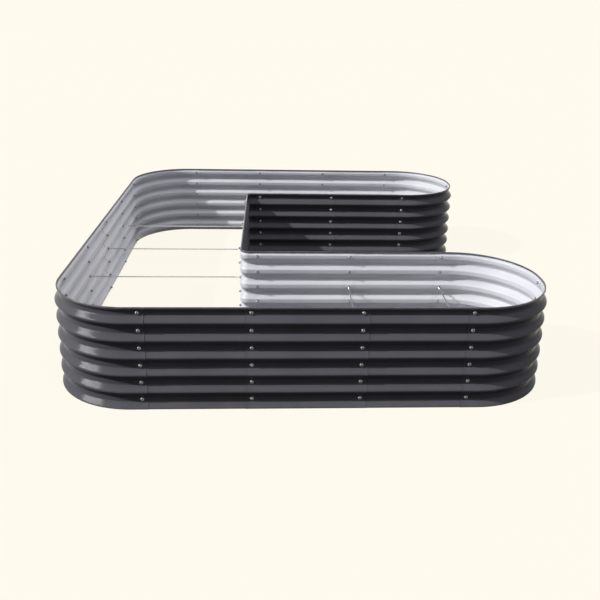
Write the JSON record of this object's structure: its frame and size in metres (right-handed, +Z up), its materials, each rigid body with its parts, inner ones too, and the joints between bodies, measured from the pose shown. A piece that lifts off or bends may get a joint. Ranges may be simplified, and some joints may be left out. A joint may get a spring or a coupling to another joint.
{
  "type": "raised garden bed",
  "caption": "U-shaped raised garden bed of bolted corrugated steel panels with rounded outer corners, rubber rim trim, cross tie rods and an open bottom.",
  "frame": {"origin": "centre of the overall bounding box's bottom face, at ground level", "axes": "+Z up, +X from the long closed arm towards the open side of the U, +Y from the front arm to the back arm, along the longest side"},
  "size_m": [2.061, 2.493, 0.4319],
  "materials": {
    "panel_paint": "satin",
    "rim_rubber": "matte",
    "zinc": "satin"
  },
  "bodies": {
    "root": {"left_panel_1": "panel_paint", "left_panel_2": "panel_paint", "left_panel_3": "panel_paint", "left_panel_4": "panel_paint", "back_panel_1": "panel_paint", "back_panel_2": "panel_paint", "back_panel_3": "panel_paint", "back_arm_inner_panel_1": "panel_paint", "back_arm_inner_panel_2": "panel_paint", "courtyard_panel_1": "panel_paint", "courtyard_panel_2": "panel_paint", "front_arm_inner_panel_1": "panel_paint", "front_arm_inner_panel_2": "panel_paint", "front_panel_1": "panel_paint", "front_panel_2": "panel_paint", "front_panel_3": "panel_paint", "corner_front_left": "panel_paint", "corner_back_left": "panel_paint", "corner_back_arm_rear": "panel_paint", "corner_back_arm_front": "panel_paint", "corner_front_arm_rear": "panel_paint", "corner_front_arm_front": "panel_paint", "courtyard_corner_back": "panel_paint", "courtyard_corner_front": "panel_paint", "rim_trim_left": "rim_rubber", "rim_trim_back": "rim_rubber", "rim_trim_back_arm": "rim_rubber", "rim_trim_front_arm": "rim_rubber", "rim_trim_front": "rim_rubber", "seam_bolt_01": "zinc", "seam_bolt_02": "zinc", "seam_bolt_03": "zinc", "seam_bolt_04": "zinc", "seam_bolt_05": "zinc", "seam_bolt_06": "zinc", "seam_bolt_07": "zinc", "seam_bolt_08": "zinc", "seam_bolt_09": "zinc", "seam_bolt_10": "zinc", "seam_bolt_11": "zinc", "seam_bolt_12": "zinc", "seam_bolt_13": "zinc", "seam_bolt_14": "zinc", "seam_bolt_15": "zinc", "seam_bolt_16": "zinc", "seam_bolt_17": "zinc", "seam_bolt_18": "zinc", "seam_bolt_19": "zinc", "seam_bolt_20": "zinc", "seam_bolt_21": "zinc", "seam_bolt_22": "zinc", "seam_bolt_23": "zinc", "seam_bolt_24": "zinc", "tie_rod_left_1": "zinc", "tie_rod_left_2": "zinc", "tie_rod_left_3": "zinc", "tie_rod_back_arm_1": "zinc", "tie_rod_back_arm_2": "zinc", "tie_rod_front_arm_1": "zinc", "tie_rod_front_arm_2": "zinc"}
  },
  "joints": []
}
